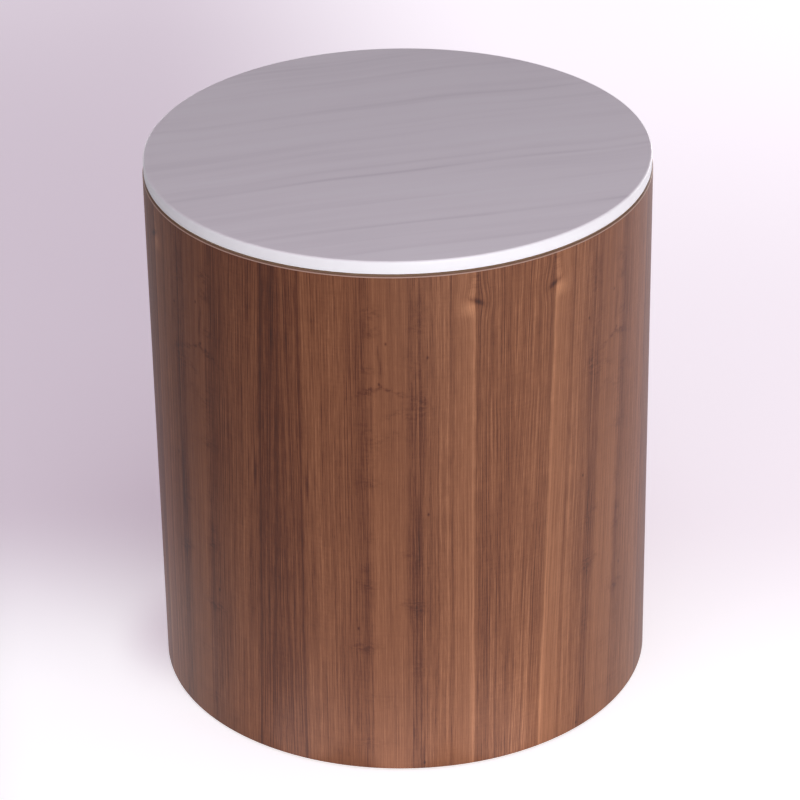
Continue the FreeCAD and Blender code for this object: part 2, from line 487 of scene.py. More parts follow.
def paintWalnut():
    material, tree, shader = newMaterial("walnutVeneer")
    uvNode = tree.nodes.new("ShaderNodeUVMap")
    uvNode.uv_map = "leaf"
    uShare, vShare = splitSpot(tree, uvNode.outputs[0])[:2]
    leafSlice = pointValue(tree, "slice")
    height = addProduct(tree, vShare, veneer["leafHeight"])
    flat = addProduct(tree, uShare, veneer["leafWidth"])
    grain = addMath(tree, "ADD", flat, addProduct(tree, vShare, veneer["grainLean"]))

    def noise(name, across, depth=0.0):
        width, length, detail, roughness = figure["noises"][name]
        place = addSpot(tree, addProduct(tree, across, 1 / width),
                        addProduct(tree, height, 1 / length), depth)
        return addNoise(tree, place, 1.0, detail, roughness, leafSlice)

    def swing(name, across, depth=0.0):
        return addSwing(tree, noise(name, across, depth), figure["swings"][name])

    # lines wander a little, and bend round the knot
    knot = figure["knot"]
    fromKnot = addMath(tree, "SUBTRACT", grain, knot["spot"][0])
    push = addMark(tree, grain, height, knot["spot"], knot["reach"], knot["push"])
    bend = addProduct(tree, fromKnot, push)
    line = addSum(tree, [grain, swing("slow", grain), swing("quick", grain), bend])
    # broad bands, then stripes in three widths, growth lines and pores
    half = 0.5 * figure["bandContrast"]
    bandTone = addLeafRamp(tree, line, figure["bands"])
    bandTone = addRange(tree, bandTone, 0.0, 1.0, 0.5 - half, 0.5 + half, "LINEAR")
    fineStripe = noise("fineStripe", line)
    pores = addRange(tree, noise("pores", line), *figure["poreEdge"])
    wander = addProduct(tree, noise("growth", line), figure["growthWander"])
    turns = addProduct(tree, addMath(tree, "ADD", line, wander), 2 * math.pi / figure["growthStep"])
    wave = addRange(tree, addMath(tree, "SINE", turns), *figure["growthEdge"])
    growth = addProduct(tree, wave, addLeafRamp(tree, line, figure["growthShares"]))
    stripes = addSum(tree, [
        swing("wideStripe", line),
        swing("middleStripe", line),
        addSwing(tree, fineStripe, figure["swings"]["fineStripe"]),
        swing("streak", line),
        swing("cloud", grain),
        swing("ripple", grain),
        addProduct(tree, growth, figure["growthTone"]),
        addProduct(tree, pores, figure["poreTone"]),
    ])
    stripes = addProduct(tree, stripes, addLeafRamp(tree, line, figure["stripeShares"]))
    # marks sit on a slightly ragged grid
    raggedAcross = addMath(tree, "ADD", grain, swing("raggedAcross", grain))
    raggedHeight = addMath(tree, "ADD", height, swing("raggedHeight", grain, figure["raggedDepth"]))
    broken = addRange(tree, noise("broken", grain), *figure["brokenEdge"])
    # the points' painted shade is added to the grain's tone
    parts = [bandTone, stripes, pointValue(tree, "shade")]
    for across, up, halfWidth, halfHeight, strength in figure["marks"]:
        thin = halfWidth < figure["thin"]
        sideways, upward = (line, height) if thin else (raggedAcross, raggedHeight)
        mark = addMark(tree, sideways, upward, leaned(across, up), (halfWidth, halfHeight), strength)
        parts.append(mark if thin else addProduct(tree, mark, broken))
    for across, up in figure["pins"]:
        parts.append(addMark(tree, grain, height, leaned(across, up), figure["pinHalf"], figure["pinTone"]))
    for across, apex, drop, halfWidth, strength in figure["arches"]:
        middle = leaned(across, apex)
        aside = addMath(tree, "ABSOLUTE", addMath(tree, "SUBTRACT", grain, middle[0]))
        bowed = addMath(tree, "ADD", raggedHeight, addProduct(tree, aside, drop))
        arch = addMark(tree, grain, bowed, middle, (halfWidth, figure["archHalf"]), strength)
        parts.append(addProduct(tree, arch, broken))
    slant = addMath(tree, "ADD", height, addProduct(tree, fromKnot, knot["slant"]))
    parts.append(addMark(tree, raggedAcross, slant, knot["spot"], *knot["core"]))
    parts.append(addMark(tree, raggedAcross, raggedHeight, knot["patchSpot"], *knot["patch"]))
    colour = addRamp(tree, addSum(tree, parts), figure["colours"])
    arris = addRange(tree, uprightShare(tree), 0.3, 0.6)          # the chamfer is painted paler: its bare cut edge, with a painted highlight from the light above
    colour = addMix(tree, arris, colour, veneer["arrisCutAndHighlightColour"])
    rough = addRange(tree, fineStripe, 0.2, 0.8, *veneer["roughness"], "LINEAR")
    fill(tree, shader, {"Base Color": colour, "Roughness": rough, "Specular IOR Level": veneer["specular"]})
    relief = addMath(tree, "SUBTRACT", addProduct(tree, fineStripe, 0.3), pores)
    addBump(tree, shader, relief, *veneer["bump"])
    return material


walnutVeneer = paintWalnut()


def makeLeaf(name, start, sweep, mirrored, fromRight, sliceNumber):
    middle = (drum["foot"] + drum["top"]) / 2
    thickness = drum["radius"] - drum["veneerInner"]
    tall = drum["top"] - drum["arris"] + thickness - drum["foot"]
    reach = (drum["radius"] + drum["veneerInner"]) / 2
    leaf = addPanel(start, reach, thickness, drum["foot"], tall)
    startEdit(leaf)
    pick(leaf, "VERT", lambda spot, normal: spot.z > drum["top"] - 0.01 and spot.xy.length > reach)
    bpy.ops.transform.translate(value=(0, 0, -thickness))  # the chamfer
    pick(leaf, "EDGE", lambda spot, along: abs(along.z) > 0.9)
    bpy.ops.mesh.subdivide(number_cuts=veneer["rows"] - 1)
    bpy.ops.mesh.select_all(action="SELECT")
    bpy.ops.mesh.spin(steps=veneer["steps"], angle=-sweep, center=(0, 0, 0), axis=(0, 0, 1))
    endEdit()
    bpy.context.scene.cursor.location = (0, 0, middle)
    bpy.ops.object.origin_set(type="ORIGIN_CURSOR")
    leanTurn = tall * math.tan(math.radians(veneer["lean"])) / drum["radius"]
    applyModifier(leaf, "SIMPLE_DEFORM", deform_method="TWIST", deform_axis="Z", angle=leanTurn)
    applyPlace(leaf)
    cleanMesh(leaf, veneer["smoothAngle"])
    # leaf coordinates, mirrored leaf by leaf as the veneer is book-matched
    sheet = leaf.data.uv_layers.new(name="leaf")
    leafTurn = math.radians(veneer["leafAngle"])
    for loop in leaf.data.loops:
        spot = leaf.data.vertices[loop.vertex_index].co
        turn = math.atan2(spot.y, spot.x) - start - leanTurn * (spot.z - middle) / tall
        turn = (turn - sweep / 2 + math.pi) % (2 * math.pi) - math.pi + sweep / 2
        share = (sweep - turn if fromRight else turn) / leafTurn
        if mirrored and not fromRight:
            share = 1 - share
        sheet.data[loop.index].uv = (share, (spot.z - drum["foot"]) / (drum["top"] - drum["foot"]))
    sliceMark = leaf.data.attributes.new("slice", "FLOAT", "POINT")
    for place in sliceMark.data:
        place.value = veneer["sliceStep"] * sliceNumber
    # painted shade: each point carries its leaf's painted tone, painted paler toward the foot and darker
    # toward the top
    paintedShadeMark = leaf.data.attributes.new("shade", "FLOAT", "POINT")
    for place, point in zip(paintedShadeMark.data, leaf.data.vertices):
        paintedShadeFall = veneer["paintedShadeFalls"].get(name, 0.0) * (middle - point.co.z) / tall
        place.value = veneer["paintedLeafShades"].get(name, 0.0) + paintedShadeFall
    fitOut(leaf, "veneerLeaf_" + name, "drum", walnutVeneer, ["veneer_leaf_" + name])


def makeLeaves():
    full = math.radians(veneer["leafAngle"])
    trimmed = (2 * math.pi - 5 * full) / 2
    start = math.pi / 2
    names = ["seam_left", "rear_left", "left", "front", "right", "rear_right", "seam_right"]
    for number, name in enumerate(names):
        sweep = trimmed if "seam" in name else full
        makeLeaf(name, start, sweep, number % 2 == 0, name == "seam_left", number - 3)
        start += sweep
    print("veneer leaves:", len(names))


makeLeaves()

stone = {
    "upperRound": 0.002,
    "lowerEdge": 0.0008,
    "sides": 256,
    "smoothAngle": 35,
    "top": 0.5165,
    "veinSlope": 0.275,         # the veins run across and a little back
    "veinDip": 0.4,             # and on down the edge
    "bend": 0.045,
    "bendScale": 3.2,
    "fadeScale": 9.0,
    "streakScales": (2.5, 85.0),  # across the table, then across the veins
    "cloudScales": (3.0, 14.0),
    "gritScale": 900.0,
    "span": 0.25,               # veins are placed this far to either side of the middle
    # veins: place along the line through the middle, half width, strength
    "veins": [
        (-0.205, 0.005, 0.25), (-0.158, 0.004, 0.85), (-0.112, 0.003, 0.40), (-0.053, 0.0035, 1.0),
        (-0.036, 0.004, 0.40), (0.050, 0.006, 0.20), (0.0955, 0.0045, 0.5), (0.160, 0.006, 0.35),
        (0.202, 0.005, 0.50),
    ],
    "veinTone": -0.30,
    "cloudTone": 0.45,
    "streakTone": 0.36,
    "paintedEdgeLight": 0.2,            # painted light: the eased edge is painted paler, as the light falls on it
    "colours": [(0.0, paint(212, 206, 212)), (0.5, paint(240, 235.5, 239.5)), (1.0, paint(248, 249, 251))],
    "roughness": (0.36, 0.44),
    "bump": (0.05, 0.0001),
}


def paintStone():
    material, tree, shader = newMaterial("honedStone")
    spot = objectSpot(tree)
    x, y, z = splitSpot(tree, spot)
    upright = uprightShare(tree)
    dip, span = stone["veinDip"], stone["span"]
    bend = addSwing(tree, addNoise(tree, spot, stone["bendScale"]), stone["bend"])
    slope = addProduct(tree, x, -stone["veinSlope"])
    flow = addSum(tree, [y, slope, addProduct(tree, z, dip), bend])
    stops = []
    for place, halfWidth, strength in stone["veins"]:
        for shift, level in ((-halfWidth, 0.0), (0.0, strength), (halfWidth, 0.0)):
            stops.append(((place + shift + span) / (2 * span), level))
    onTop = addMath(tree, "SUBTRACT", flow, dip * stone["top"])
    vein = addRamp(tree, addRange(tree, onTop, -span, span, 0.0, 1.0, "LINEAR"), stops)
    fade = addRange(tree, addNoise(tree, spot, stone["fadeScale"]), 0.35, 0.65, 0.35, 1.0)
    fade = addProduct(tree, fade, addRange(tree, upright, 0.2, 0.9, 0.3, 1.0))
    streak = addNoise(tree, addStretch(tree, *zip((x, flow), stone["streakScales"])), 1.0, 3.0, 0.6)
    cloud = addNoise(tree, addStretch(tree, *zip((x, flow), stone["cloudScales"])), 1.0, 3.0, 0.55)
    tone = addSum(tree, [
        0.5,
        addSwing(tree, cloud, stone["cloudTone"]),
        addSwing(tree, streak, stone["streakTone"]),
        addProduct(tree, addProduct(tree, vein, fade), stone["veinTone"]),
        # painted light: faces that turn away from upright are painted paler
        addRange(tree, upright, 0.9, 0.2, 0.0, stone["paintedEdgeLight"]),
    ])
    colour = addRamp(tree, tone, stone["colours"])
    grit = addNoise(tree, spot, stone["gritScale"])
    finishShader(tree, shader, colour, grit, stone["roughness"], stone["bump"])
    return material


honedStone = paintStone()


def makeStone():
    low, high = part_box("stone_top")
    radius = (high.x - low.x) / 2
    slab = addRod(stone["sides"], radius, low.z, high.z)
    startEdit(slab)
    easeEdges(slab, lambda spot, along: spot.z > high.z - 1e-4, stone["upperRound"], 6)
    easeEdges(slab, lambda spot, along: spot.z < low.z + 1e-4, stone["lowerEdge"], 2)
    endEdit()
    cleanMesh(slab, stone["smoothAngle"])
    fitOut(slab, "stoneTop", "drum", honedStone, ["stone_top"])
    print("stone top done")


makeStone()

plywood = {
    "ply": 0.0012,
    # grain noise: scale across, scale along, detail, roughness, share of the tone
    "noises": [(60.0, 3.0, 3.0, 0.55, 0.7), (900.0, 22.0, 2.0, 0.6, 0.3)],
    "colours": [(0.25, paint(186, 152, 118)), (0.5, paint(210, 178, 146)), (0.75, paint(226, 200, 170))],
    "endColour": paint(172, 128, 86),
    "endShare": 0.75,
    "glueColour": paint(108, 74, 48),
    "glueShare": 0.6,
    "paintedShadeDepth": 0.0016,       # painted shade: the wall's top edge is painted darker, where the stone overhangs it
    "paintedShadeEdge": 0.7,
    "paintedShadeColour": paint(118, 86, 66),
    "roughness": (0.62, 0.5),
    "solidRoughness": (0.66, 0.54),
    "bump": (0.2, 0.0002),
}


def buildBirch(tree, given, result):  # pale straight grain, in metres along and across it
    parts = []
    for across, along, detail, roughness, share in plywood["noises"]:
        ways = (("sideways", across), ("along", along), ("depth", across))
        place = addStretch(tree, *[(given[way], scale) for way, scale in ways])
        parts.append(addProduct(tree, addNoise(tree, place, 1.0, detail, roughness), share))
    tone = addSum(tree, parts)
    put(tree, result["tone"], tone)
    put(tree, result["colour"], addRamp(tree, tone, plywood["colours"]))


birchGroup = newGroup("birchGrain", buildBirch, ["along", "sideways", "depth"], ["colour", "tone"])


def buildPlies(tree, given, result):  # every other ply shows end grain, with a dark glue line between
    count = addMath(tree, "DIVIDE", given["depth"], given["ply"])
    put(tree, result["shade"], addMath(tree, "MODULO", addMath(tree, "FLOOR", count), 2.0))
    within = addMath(tree, "ABSOLUTE", addMath(tree, "SUBTRACT", addMath(tree, "FRACT", count), 0.5))
    put(tree, result["glue"], addRange(tree, within, 0.40, 0.48))


plyGroup = newGroup("plyLayers", buildPlies, ["depth", "ply"], ["shade", "glue"])


def paintPlywood(name, bent):  # bent: layers round the drum's axis, else stacked upward
    material, tree, shader = newMaterial(name)
    x, y, z = splitSpot(tree, objectSpot(tree))
    steep = addRange(tree, addMath(tree, "ABSOLUTE", uprightShare(tree)), 0.45, 0.6)
    if bent:
        radius = addLength(tree, x, y)
        wayRound = addProduct(tree, addMath(tree, "ARCTAN2", y, x), drum["shellInner"])
        grain = useGroup(tree, birchGroup, along=z, sideways=wayRound, depth=radius)
        depth = addMath(tree, "SUBTRACT", radius, drum["shellInner"])
        edge = steep
    else:
        grain = useGroup(tree, birchGroup, along=x, sideways=y, depth=z)
        depth = z
        edge = addMath(tree, "SUBTRACT", 1.0, steep)
    layers = useGroup(tree, plyGroup, depth=depth, ply=plywood["ply"])
    endShare = addProduct(tree, layers["shade"], plywood["endShare"])
    glueShare = addProduct(tree, layers["glue"], plywood["glueShare"])
    layered = addMix(tree, endShare, grain["colour"], plywood["endColour"])
    layered = addMix(tree, glueShare, layered, plywood["glueColour"])
    colour = addMix(tree, edge, grain["colour"], layered)
    if bent:
        # painted shade: the outer top corner of the wall is painted darker under the stone's overhang
        deep = plywood["paintedShadeDepth"]
        paintedShade = []
        for way, end in ((radius, drum["veneerInner"]), (z, drum["top"])):
            paintedShade.append(addRange(tree, way, end - deep, end - plywood["paintedShadeEdge"] * deep))
        colour = addMix(tree, addProduct(tree, *paintedShade), colour, plywood["paintedShadeColour"])
    finishShader(tree, shader, colour, grain["tone"], plywood["roughness"], plywood["bump"])
    return material


def paintBirch():
    material, tree, shader = newMaterial("solidBirch")
    x, y, z = splitSpot(tree, objectSpot(tree))
    grain = useGroup(tree, birchGroup, along=z, sideways=x, depth=y)
    finishShader(tree, shader, grain["colour"], grain["tone"], plywood["solidRoughness"], plywood["bump"])
    return material


finishes = {                   # cloud is the colour's noise, grit the roughness's
    "zincSteel": {
        "cloud": (420.0, 3.0), "grit": 1500.0, "roughness": (0.28, 0.44), "bump": None,
        "colours": [(0.3, paint(176, 180, 184)), (0.5, paint(196, 198, 198)), (0.7, paint(206, 203, 190))],
        "plain": {"Metallic": 1.0},
    },
    "blackNylon": {
        "cloud": (90.0, 3.0), "grit": 2200.0, "roughness": (0.45, 0.6), "bump": (0.2, 0.0001),
        "colours": [(0.3, paint(24, 24, 26)), (0.7, paint(38, 38, 40))],
        "plain": {},
    },
    "clearSilicone": {
        "cloud": (300.0, 2.0), "grit": 300.0, "roughness": (0.25, 0.4), "bump": None,
        "colours": [(0.3, paint(206, 208, 210)), (0.7, paint(228, 230, 232))],
        "plain": {"Transmission Weight": 0.7, "IOR": 1.41},
    },
}


def paintPlain(name):
    finish = finishes[name]
    material, tree, shader = newMaterial(name)
    spot = objectSpot(tree)
    colour = addRamp(tree, addNoise(tree, spot, *finish["cloud"]), finish["colours"])
    grit = addNoise(tree, spot, finish["grit"])
    finishShader(tree, shader, colour, grit, finish["roughness"], finish["bump"])
    fill(tree, shader, finish["plain"])
    return material


bentPlywood = paintPlywood("bentPlywood", True)
flatPlywood = paintPlywood("flatPlywood", False)
solidBirch = paintBirch()
zincSteel = paintPlain("zincSteel")
blackNylon = paintPlain("blackNylon")
clearSilicone = paintPlain("clearSilicone")
print("materials painted")

shell = {"steps": 120, "chamfer": 0.0007}


def boxCutter(node, room=0.00005):  # a block the size of a solid's box, with a little room
    low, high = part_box(node)
    clearAll()
    bpy.ops.mesh.primitive_cube_add(size=1, location=(low + high) / 2)
    block = bpy.context.object
    block.scale = high - low + Vector((room, room, room)) * 2
    applyPlace(block)
    return block


def makeShell(name, start):
    thick = drum["shellOuter"] - drum["shellInner"]
    tall = drum["top"] - drum["foot"]
    reach = drum["shellInner"] + thick / 2
    wall = addPanel(start, reach, thick, drum["foot"], tall)
    startEdit(wall)
    pick(wall, "VERT", lambda spot, normal: spot.z > drum["top"] - 0.001 and spot.xy.length > reach)
    bpy.ops.mesh.bevel(offset=shell["chamfer"], affect="VERTICES")
    bpy.ops.mesh.select_all(action="SELECT")
    bpy.ops.mesh.spin(steps=shell["steps"], angle=-math.pi, center=(0, 0, 0), axis=(0, 0, 1))
    endEdit()
    cleanMesh(wall)
    for side in ("left", "right"):
        cutWith(wall, boxCutter("shell_spline_" + side))
    cleanMesh(wall)
    fitOut(wall, name, "drum", bentPlywood, [name.replace("HalfShell", "_half_shell")])


makeShell("rearHalfShell", 0)
makeShell("frontHalfShell", math.pi)
print("half shells done")

footNames = ["front_left", "front_right", "rear_left", "rear_right"]
stileTurns = {"right": 0, "rear": math.pi / 2, "left": math.pi, "front": -math.pi / 2}
hoop = {
    "sides": 192,
    "holeSides": 48,
    "edge": 0.0006,
    "baseWidth": 0.066,
    "ribWidth": 0.045,
    "stileDepth": 0.028,
    "nutSeat": 0.01105,        # the recess for a nut's flange
    "seatDepth": 0.00185,
    "nutHole": 0.00555,
    "cutPast": 0.002,
}
woodScrew = {                  # and the cutter for its countersink
    "sides": 32,
    "head": 0.0040,
    "rim": 0.0003,
    "shank": 0.0019,
    "headHeight": 0.0022,
    "shankLength": 0.010,
    "sink": 0.0003,
    "spacing": 0.022,
    "cross": 0.0010,
    "crossArm": 0.0017,
    "crossDepth": 0.0009,
    "crossTaper": 0.55,
    "dishSides": 48,
    "dish": 0.0044,
    "dishFoot": 0.0017,
    "dishDepth": 0.0027,
    "dishMiddle": 0.00125,
}


def makeHoop(node, width):  # a flat ring from a disc: both faces inset, then bridged
    low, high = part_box(node)
    outer = (high.x - low.x) / 2
    inner = outer - width
    ring = addRod(hoop["sides"], outer, low.z, high.z)
    startEdit(ring)
    pick(ring, "FACE", lambda spot, normal: abs(normal.z) > 0.9)
    bpy.ops.mesh.inset(thickness=width)
    bpy.ops.mesh.bridge_edge_loops()
    easeEdges(ring, lambda spot, along: isLevel(along) and abs(spot.xy.length - inner) < 1e-3,
              hoop["edge"], 2)
    endEdit()
    cleanMesh(ring)
    return ring


def makeScrew():  # countersunk, its head at the origin facing down, with a cross recess
    screw = addRod(woodScrew["sides"], woodScrew["head"], 0, woodScrew["rim"])
    startEdit(screw)
    pick(screw, "FACE", looksUp)
    extrudeUp(woodScrew["headHeight"])
    resizeLevel(woodScrew["shank"] / woodScrew["head"])
    extrudeUp(woodScrew["shankLength"])
    endEdit()
    cleanMesh(screw)
    clearAll()
    bpy.ops.mesh.primitive_cube_add(size=woodScrew["cross"], location=(0, 0, 0))
    cross = bpy.context.object
    applyPlace(cross)
    startEdit(cross)
    pick(cross, "FACE", lambda spot, normal: abs(normal.z) < 0.1)
    bpy.ops.mesh.extrude_faces_move(TRANSFORM_OT_shrink_fatten={"value": woodScrew["crossArm"]})
    pick(cross, "VERT", lambda spot, normal: spot.z > 0)
    bpy.ops.transform.translate(value=(0, 0, woodScrew["crossDepth"]))
    resizeLevel(woodScrew["crossTaper"])
    endEdit()
    cleanMesh(cross)
    cutWith(screw, cross)
    cleanMesh(screw)
    return screw


def makeDish():  # cutter for a countersink, facing as the screw does
    clearAll()
    bpy.ops.mesh.primitive_cone_add(vertices=woodScrew["dishSides"], depth=woodScrew["dishDepth"],
                                    radius1=woodScrew["dish"], radius2=woodScrew["dishFoot"],
                                    location=(0, 0, woodScrew["dishMiddle"]))
    dish = bpy.context.object
    applyPlace(dish)
    return dish


def makeHoops():
    screw = makeScrew()
    dish = makeDish()
    base = makeHoop("base_ring", hoop["baseWidth"])
    low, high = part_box("base_ring")
    for name in footNames:
        padLow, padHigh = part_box("leveller_pad_" + name)
        place = ((padLow.x + padHigh.x) / 2, (padLow.y + padHigh.y) / 2)
        under = low.z - hoop["cutPast"]
        cutWith(base, addRod(hoop["holeSides"], hoop["nutSeat"], under, low.z + hoop["seatDepth"], place))
        cutWith(base, addRod(hoop["holeSides"], hoop["nutHole"], under, high.z + hoop["cutPast"], place))
    rib = makeHoop("middle_rib", hoop["ribWidth"])
    ribLow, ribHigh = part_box("middle_rib")
    ribMiddle = (ribLow.z + ribHigh.z) / 2
    ribInner = drum["shellInner"] - hoop["ribWidth"]
    stileMiddle = drum["shellInner"] - hoop["stileDepth"] / 2
    screws = []
    for side, turn in stileTurns.items():
        cutWith(rib, boxCutter("stile_" + side))
        for aside in (-woodScrew["spacing"] / 2, woodScrew["spacing"] / 2):
            cutWith(base, copyPiece(dish, turn, (stileMiddle, aside, low.z)))
            screws.append(copyPiece(screw, turn, (stileMiddle, aside, low.z + woodScrew["sink"])))
        cutWith(rib, copyPiece(dish, turn, (ribInner, 0, ribMiddle), math.pi / 2))
        screws.append(copyPiece(screw, turn, (ribInner + woodScrew["sink"], 0, ribMiddle), math.pi / 2))
    for pattern in (screw, dish):
        bpy.data.objects.remove(pattern)
    for ring, name, node in ((base, "baseRing", "base_ring"), (rib, "middleRib", "middle_rib")):
        cleanMesh(ring)
        fitOut(ring, name, "drum", flatPlywood, [node])
    fitOut(joinPieces(screws), "woodScrews", "drum", zincSteel)
    print("base ring, rib and", len(screws), "screws done")


makeHoops()

foot = {
    "padSides": 96,
    "padMouth": 0.00355,
    "padLip": 0.0012,
    "padSocket": 0.0063,
    "socketDepth": 0.00225,
    "padRound": 0.0015,
    "padEdge": 0.0008,
    "buttonSides": 48,
    "button": 0.0060,
    "buttonHeight": 0.002,
    "neck": 0.0035,
    "collar": 0.0130,          # across the flats
    "collarLow": 0.0052,
    "collarHigh": 0.0090,
    "collarEdge": 0.0005,
    "collarCorner": 0.0003,
    "neckOverlap": 0.0002,     # how far neck and thread run into the collar
    "threadOverlap": 0.0003,
    "pitch": 0.00125,
    "threadRoot": 0.0034,
    "threadCrest": 0.0040,
    "threadTurns": 24,
    "threadSteps": 32,
    "threadFlat": 0.2,         # the crest's share of the pitch
    "nutSides": 64,
    "nutFlange": 0.011,
    "flangeHeight": 0.0018,
    "flangeEdge": 0.0005,
    "nutBarrel": 0.0055,
    "nutBore": 0.00405,
}


def makePad(low, high):
    radius = (high.x - low.x) / 2
    pad = addRod(foot["padSides"], radius, 0, high.z)
    startEdit(pad)
    pick(pad, "FACE", looksUp)
    bpy.ops.mesh.inset(thickness=radius - foot["padMouth"])
    extrudeUp(-foot["padLip"])
    extrudeUp(0)
    resizeLevel(foot["padSocket"] / foot["padMouth"])
    extrudeUp(-foot["socketDepth"])
    rim = radius - 1e-3
    easeEdges(pad, lambda spot, along: isLevel(along) and spot.z > high.z - 1e-5 and spot.xy.length > rim,
              foot["padRound"], 5)
    easeEdges(pad, lambda spot, along: isLevel(along) and spot.z < 1e-5, foot["padEdge"], 3)
    endEdit()
    cleanMesh(pad)
    return pad


def makeThread(low, high):  # one turn's outline, wound upward and cut off at both ends
    pitch, root, crest = foot["pitch"], foot["threadRoot"], foot["threadCrest"]
    thread = addPanel(0, (root + crest) / 2, crest - root, 0, pitch)
    startEdit(thread)
    pick(thread, "VERT", lambda spot, normal: spot.x > root + 1e-5)
    bpy.ops.transform.resize(value=(1, 1, foot["threadFlat"]), center_override=(crest, 0, pitch / 2))
    pick(thread, "EDGE", lambda spot, along: spot.x < root + 1e-6)
    bpy.ops.mesh.delete(type="EDGE")
    endEdit()
    steps = foot["threadSteps"]
    applyModifier(thread, "SCREW", axis="Z", angle=2 * math.pi, screw_offset=pitch,
                  iterations=foot["threadTurns"], steps=steps, render_steps=steps,
                  use_merge_vertices=True, merge_threshold=1e-6)
    thread.location = (0, 0, foot["collarHigh"] - 2 * pitch)
    applyPlace(thread)
    startEdit(thread)
    for level, upward in ((low, -1), (high, 1)):
        bpy.ops.mesh.select_all(action="SELECT")
        bpy.ops.mesh.bisect(plane_co=(0, 0, level), plane_no=(0, 0, upward), use_fill=True, clear_outer=True)
    endEdit()
    return thread


def makeStem(low, high):
    collarLow, collarHigh = foot["collarLow"], foot["collarHigh"]
    neckLow = low.z + foot["buttonHeight"]
    button = addRod(foot["buttonSides"], foot["button"], low.z, neckLow)
    startEdit(button)
    pick(button, "FACE", looksUp)
    bpy.ops.mesh.inset(thickness=foot["button"] - foot["neck"])
    extrudeUp(collarLow - neckLow + foot["neckOverlap"])
    endEdit()
    corner = foot["collar"] / 2 / math.cos(math.pi / 6)
    collar = addRod(6, corner, collarLow, collarHigh, turn=math.pi / 6)
    startEdit(collar)
    easeEdges(collar, lambda spot, along: isLevel(along) and spot.z < collarLow + 1e-4, foot["collarEdge"], 2)
    easeEdges(collar, lambda spot, along: abs(along.z) > 0.9, foot["collarCorner"], 2)
    endEdit()
    thread = makeThread(collarHigh - foot["threadOverlap"], high.z)
    stem = joinPieces([button, collar, thread])
    cleanMesh(stem)
    return stem


def makeNut():
    low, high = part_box("leveller_nuts")
    nut = addRod(foot["nutSides"], foot["nutFlange"], low.z, low.z + foot["flangeHeight"])
    startEdit(nut)
    pick(nut, "FACE", looksUp)
    bpy.ops.mesh.inset(thickness=foot["nutFlange"] - foot["nutBarrel"])
    extrudeUp(high.z - low.z - foot["flangeHeight"])
    bpy.ops.mesh.inset(thickness=foot["nutBarrel"] - foot["nutBore"])
    pick(nut, "FACE", lambda spot, normal: normal.z < -0.9)
    bpy.ops.mesh.inset(thickness=foot["nutFlange"] - foot["nutBore"])
    pick(nut, "FACE", lambda spot, normal: abs(normal.z) > 0.9 and spot.xy.length < 1e-4)
    bpy.ops.mesh.bridge_edge_loops()
    rim = foot["nutFlange"] - 1e-3
    easeEdges(nut, lambda spot, along: spot.z < low.z + 1e-5 and spot.xy.length > rim, foot["flangeEdge"], 3)
    endEdit()
    cleanMesh(nut)
    return nut


def makeFeet():
    padLow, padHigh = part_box("leveller_pad_front_left")
    stemLow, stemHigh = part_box("leveller_stem_front_left")
    pad = makePad(padLow, padHigh)
    stem = makeStem(stemLow, stemHigh)
    nut = makeNut()
    kinds = [("Pad", pad, "black_nylon", blackNylon), ("Stem", stem, "zinc_steel", zincSteel)]
    nuts = []
    for name in footNames:
        low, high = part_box("leveller_pad_" + name)
        middle = (low + high) / 2
        reach = middle.xy.length
        turn = math.atan2(middle.y, middle.x)
        for kind, pattern, slot, material in kinds:
            body = kind.lower() + "_" + name
            twin = copyPiece(pattern, turn, (reach, 0, 0))
            fitOut(twin, "leveller" + kind + "_" + name, body, material, ["leveller_" + body])
        nuts.append(copyPiece(nut, turn, (reach, 0, 0)))
    fitOut(joinPieces(nuts), "levellerNuts", "drum", zincSteel, ["leveller_nuts"])
    for pattern in (pad, stem, nut):
        bpy.data.objects.remove(pattern)
    print("levelling feet done")


makeFeet()

bond = {"count": 6, "sides": 48, "radius": 0.010, "circle": 0.1978, "edge": 0.0005}


def makeBondPads():
    low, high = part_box("bond_pads")
    pad = addRod(bond["sides"], bond["radius"], low.z, high.z)
    startEdit(pad)
    easeEdges(pad, lambda spot, along: isLevel(along), bond["edge"], 3)
    endEdit()
    cleanMesh(pad)
    pads = []
    for number in range(bond["count"]):
        pads.append(copyPiece(pad, 2 * math.pi * (number + 0.5) / bond["count"], (bond["circle"], 0, 0)))
    bpy.data.objects.remove(pad)
    fitOut(joinPieces(pads), "bondPads", "drum", clearSilicone, ["bond_pads"])
    print("bond pads done")


makeBondPads()

keptSolids = {"top_deck": flatPlywood, "shell_spline_left": bentPlywood, "shell_spline_right": bentPlywood}
keptSolids.update({"stile_" + side: solidBirch for side in stileTurns})
for node, material in keptSolids.items():
    solids[node].data.materials.clear()
    solids[node].data.materials.append(material)
print("kept solids painted:", len(keptSolids))

